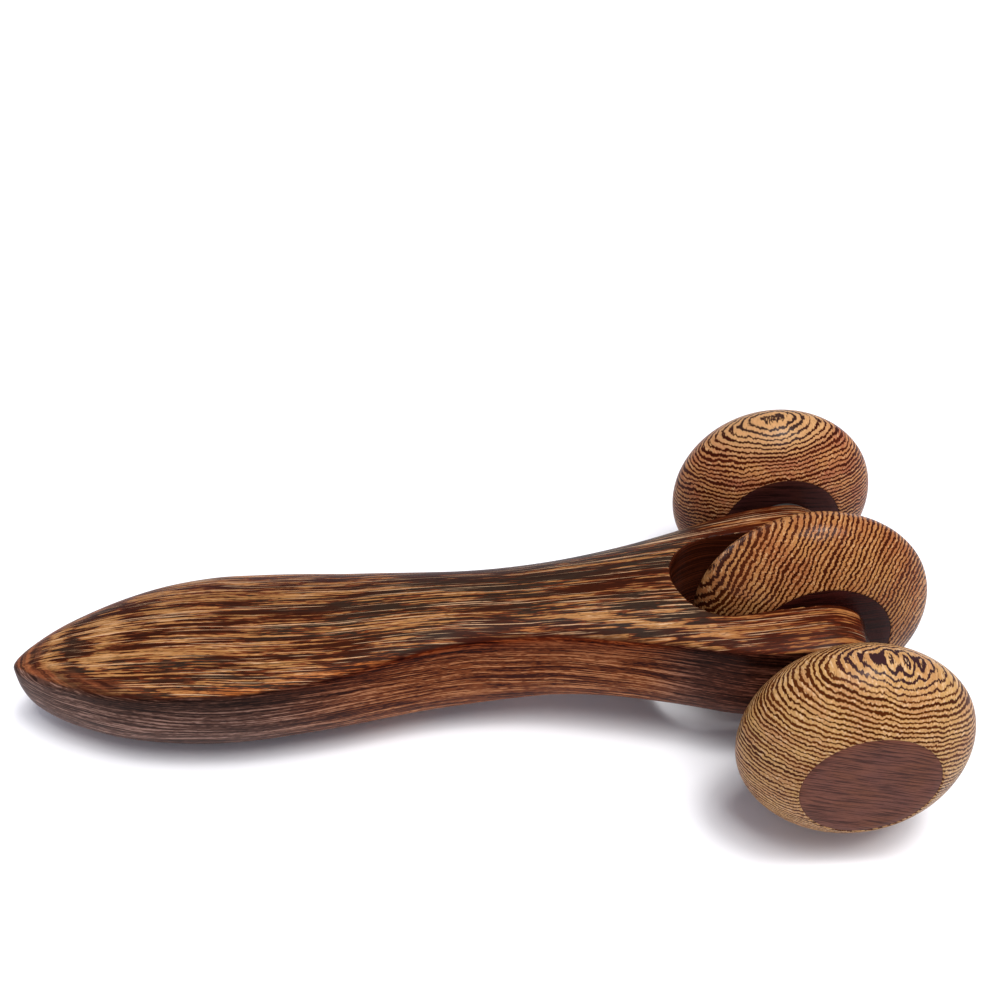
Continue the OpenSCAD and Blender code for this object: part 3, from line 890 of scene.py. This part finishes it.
STEP = 0.45
pts, quads = nets(solid, (-163, -22.6, -25.1), (10, 22.6, 14.6), STEP)
pts = settle(solid, pts, 3)
pts = even_out(solid, pts, quads, 4)
grad = gradient(solid, pts)
grad /= np.maximum(np.linalg.norm(grad, axis=1), 1e-9)[:, None]
x, y, z = pts.T
d_slot = np.where(x < SLOT_C, np.hypot(x - SLOT_C, y), np.abs(y)) - SLOT_R
facing = grad[:, 2].astype(np.float32)
# mask of the slot walls, for their dark reddish tone and the painted shade inside the slot
in_slot = (np.clip(1 - np.abs(d_slot) / 0.8, 0, 1) * np.clip((0.7 - np.abs(grad[:, 2])) / 0.4, 0, 1)).astype(np.float32)

handle = make("handle_carved", pts + np.array([AX, 0, AZ]), quads.tolist(), "handle_body", ["handle"],
              handle_wood("wood_handle"), 60)
crease = stations(x)[1]
drop = np.clip(crease - z, -6, 30).astype(np.float32)
half = stations(x)[0]
lane = (y * (13.0 / np.maximum(half, 6.0)) ** 0.45).astype(np.float32)
inset = np.minimum(half - np.abs(y), x - TIP).astype(np.float32)
for name, values in (("facing", facing), ("slot", in_slot), ("drop", drop), ("lane", lane), ("inset", inset)):
    a = handle.data.attributes.new(name, "FLOAT", "POINT")
    a.data.foreach_set("value", values)

# --------------------------------------------------------------------------
# floor and light
# --------------------------------------------------------------------------
me = bpy.data.meshes.new("floor")
S = 3.0
me.from_pydata([(-S, -S, 0), (S, -S, 0), (S, S, 0), (-S, S, 0)], [], [(0, 1, 2, 3)])
floor = bpy.data.objects.new("floor", me)
scene.collection.objects.link(floor)
fg = Graph("floor_paper")
fp = fg.vmath("SCALE", fg.coords(), scale=1.0)
fn = fg.noise(fp, scale=30.0, detail=3)
fg.finish(fg.mix(fg.step(fn, -0.8, 0.8), (0.90, 0.915, 0.955, 1), (0.92, 0.935, 0.975, 1)), 0.6, IOR=1.3)
fg.bsdf.inputs["Specular IOR Level"].default_value = 0.2
me.materials.append(fg.mat)


def area(name, at, aim, size, watts, colour):
    d = bpy.data.lights.new(name, "AREA")
    d.shape = "RECTANGLE"
    d.size, d.size_y = size
    d.energy = watts
    d.color = colour
    o = bpy.data.objects.new(name, d)
    scene.collection.objects.link(o)
    o.location = at
    o.rotation_euler = (Vector(aim) - Vector(at)).to_track_quat("-Z", "Y").to_euler()
    return o


area("key", (0.40, -0.42, 2.18), (0.03, 0.0, 0.0), (1.3, 1.3), 51.0, (1.0, 0.985, 0.96))
area("spot", (0.45, -0.30, 2.34), (0.05, 0.0, 0.0), (0.40, 0.40), 12.0, (1.0, 0.985, 0.96))

world = bpy.data.worlds.new("studio")
scene.world = world
world.use_nodes = True
wt = world.node_tree
bg = wt.nodes["Background"]
bg.inputs["Color"].default_value = (0.93, 0.90, 1.0, 1)
bg.inputs["Strength"].default_value = 0.43
white = wt.nodes.new("ShaderNodeBackground")
white.inputs["Color"].default_value = (1.0, 1.0, 1.0, 1)
white.inputs["Strength"].default_value = 1.0
path = wt.nodes.new("ShaderNodeLightPath")
both_w = wt.nodes.new("ShaderNodeMixShader")
wt.links.new(path.outputs["Is Camera Ray"], both_w.inputs[0])
wt.links.new(bg.outputs[0], both_w.inputs[1])
wt.links.new(white.outputs[0], both_w.inputs[2])
wt.links.new(both_w.outputs[0], wt.nodes["World Output"].inputs["Surface"])

scene.view_settings.view_transform = "Standard"
scene.view_settings.look = "None"
scene.view_settings.exposure = 0.0
scene.view_settings.gamma = 1.0
